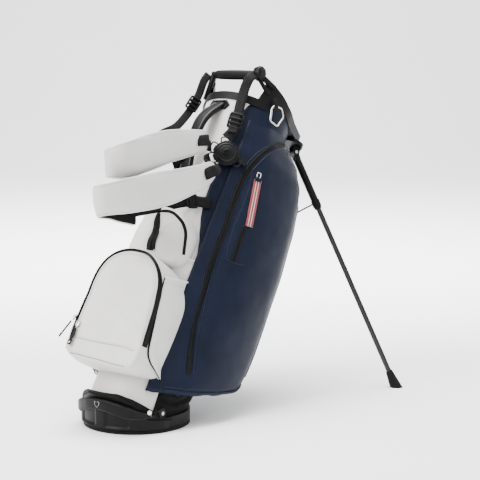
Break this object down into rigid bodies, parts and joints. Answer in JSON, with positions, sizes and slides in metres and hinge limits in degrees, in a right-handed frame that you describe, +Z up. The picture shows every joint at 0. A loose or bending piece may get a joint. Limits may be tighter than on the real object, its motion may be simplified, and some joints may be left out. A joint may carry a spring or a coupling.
{
  "type": "golf stand bag",
  "caption": "Golf stand bag with zipped pockets, divided top, shoulder straps and two fold-out legs that open as its hinged base tilts",
  "frame": {"origin": "centre of the round base, on the floor", "axes": "+Z up, +X from the front of the bag towards its legs, +Y from the side with the strap hub towards the other side"},
  "size_m": [0.8215, 0.644, 0.8145],
  "materials": {
    "white_shell": "satin, fine grain",
    "navy_shell": "satin, fine grain",
    "black_trim": "satin, pebbled",
    "black_plastic": "moulded, light grain",
    "webbing": "woven nylon",
    "lining": "woven polyester",
    "zipper": "zip tape with moulded teeth",
    "red_ribbon": "woven ribbon with pale stripes",
    "silver_metal": "satin champagne silver",
    "black_metal": "black anodised, semi-gloss",
    "steel": "brushed",
    "black_rubber": "moulded matt"
  },
  "bodies": {
    "bag": {"apparel_pocket_far": "navy_shell", "apparel_pocket_near": "navy_shell", "apparel_zipper_far": "zipper", "apparel_zipper_near": "zipper", "back_panel": "navy_shell", "ball_pocket": "white_shell", "ball_pocket_zipper": "zipper", "bottom_cup": "black_plastic", "carabiner_strap": "webbing", "collar_badge": "black_plastic", "collar_straps": "webbing", "divider_frame": "black_plastic", "divider_sleeves": "lining", "front_handle": "black_plastic", "front_panel": "white_shell", "grip_wrap": "black_trim", "hip_pad": "black_trim", "hub_loops": "webbing", "inner_liner": "lining", "leg_bracket": "black_plastic", "leg_pivot_pins": "steel", "lower_strap": "webbing", "rod_guide": "black_plastic", "shell_stays": "black_plastic", "shoulder_pad_lower": "white_shell", "shoulder_pad_upper": "white_shell", "side_panel_far": "navy_shell", "side_panel_near": "navy_shell", "side_sleeve_pocket": "white_shell", "spine_handle": "black_trim", "strap_buckles": "black_plastic", "strap_hub": "black_plastic", "strap_knob": "black_plastic", "top_collar": "black_plastic", "upper_pocket": "white_shell", "upper_pocket_zipper": "zipper", "valuables_zipper": "zipper", "woven_tag": "red_ribbon"},
    "base": {"base_shoe": "black_plastic", "base_sole": "black_rubber", "base_pivot_pins": "steel", "base_handle": "black_trim", "base_studs": "silver_metal", "base_badge": "silver_metal", "base_gusset": "lining"},
    "leg_near": {"leg_sleeve_near": "black_plastic", "leg_tube_near": "black_metal", "leg_foot_near": "black_rubber"},
    "leg_far": {"leg_sleeve_far": "black_plastic", "leg_tube_far": "black_metal", "leg_foot_far": "black_rubber"},
    "rod": {"actuator_rod": "black_metal"},
    "link_near": {"link_near": "black_metal"},
    "link_far": {"link_far": "black_metal"},
    "clip": {"carabiner": "silver_metal"},
    "ball_pull_l": {"ball_puller_left": "webbing"},
    "ball_pull_r": {"ball_puller_right": "webbing"},
    "zip_pull_near": {"apparel_puller_near": "webbing"},
    "zip_pull_far": {"apparel_puller_far": "webbing"},
    "ribbon": {"valuables_pull": "red_ribbon"}
  },
  "joints": [
    {"name": "base_tilt", "type": "hinge", "parent": "bag", "child": "base", "pos_m": [-0.045, 0, 0.045], "axis": [0, 1, 0], "range_deg": [0, 33.4], "deforming": ["base_gusset"]},
    {"name": "leg_near_swing", "type": "hinge", "parent": "bag", "child": "leg_near", "pos_m": [0.52085, -0.08, 0.60044], "axis": [0.4512, 0.865, -0.2196], "range_deg": [0, 51.71]},
    {"name": "leg_far_swing", "type": "hinge", "parent": "bag", "child": "leg_far", "pos_m": [0.52085, 0.08, 0.60044], "axis": [-0.4512, 0.865, 0.2196], "range_deg": [0, 51.71]},
    {"name": "rod_slide", "type": "slide", "parent": "bag", "child": "rod", "axis": [-0.5505, 0, -0.8348], "range_m": [0, 0.09644]},
    {"name": "link_near_turn", "type": "hinge", "parent": "rod", "child": "link_near", "pos_m": [0.37662, -0.0165, 0.38171], "axis": [-0.5409, -0.8158, 0.2044], "range_deg": [0, 31.54]},
    {"name": "link_far_turn", "type": "hinge", "parent": "rod", "child": "link_far", "pos_m": [0.37662, 0.0165, 0.38171], "axis": [0.5409, -0.8158, -0.2044], "range_deg": [0, 31.54]},
    {"name": "clip_swing", "type": "hinge", "parent": "bag", "child": "clip", "pos_m": [0.39193, -0.11495, 0.71737], "axis": [-0.2504, -0.9539, 0.1651], "range_deg": [-5, 5]},
    {"name": "ball_pull_l_swing", "type": "hinge", "parent": "bag", "child": "ball_pull_l", "pos_m": [-0.10901, 0.0995, 0.24196], "axis": [0, 1, 0], "range_deg": [-30, 60]},
    {"name": "ball_pull_r_swing", "type": "hinge", "parent": "bag", "child": "ball_pull_r", "pos_m": [-0.1199, 0.078, 0.22998], "axis": [0, 1, 0], "range_deg": [0, 70]},
    {"name": "zip_pull_near_lift", "type": "hinge", "parent": "bag", "child": "zip_pull_near", "pos_m": [0.41569, -0.1255, 0.60989], "axis": [-0.9646, -0.2638, 0], "range_deg": [0, 90]},
    {"name": "zip_pull_far_lift", "type": "hinge", "parent": "bag", "child": "zip_pull_far", "pos_m": [0.41569, 0.1255, 0.60989], "axis": [0.9646, -0.2638, 0], "range_deg": [0, 90]},
    {"name": "ribbon_lift", "type": "hinge", "parent": "bag", "child": "ribbon", "pos_m": [0.3033, -0.1275, 0.56661], "axis": [-0.8185, 0.5619, 0.1196], "range_deg": [0, 80]}
  ],
  "couplings": [
    {"joint": "leg_near_swing", "follows": "base_tilt", "ratio": 1.548},
    {"joint": "leg_far_swing", "follows": "base_tilt", "ratio": 1.548},
    {"joint": "rod_slide", "follows": "base_tilt", "m_per_rad": 0.16542},
    {"joint": "link_near_turn", "follows": "base_tilt", "ratio": 0.94419},
    {"joint": "link_far_turn", "follows": "base_tilt", "ratio": 0.94419}
  ]
}
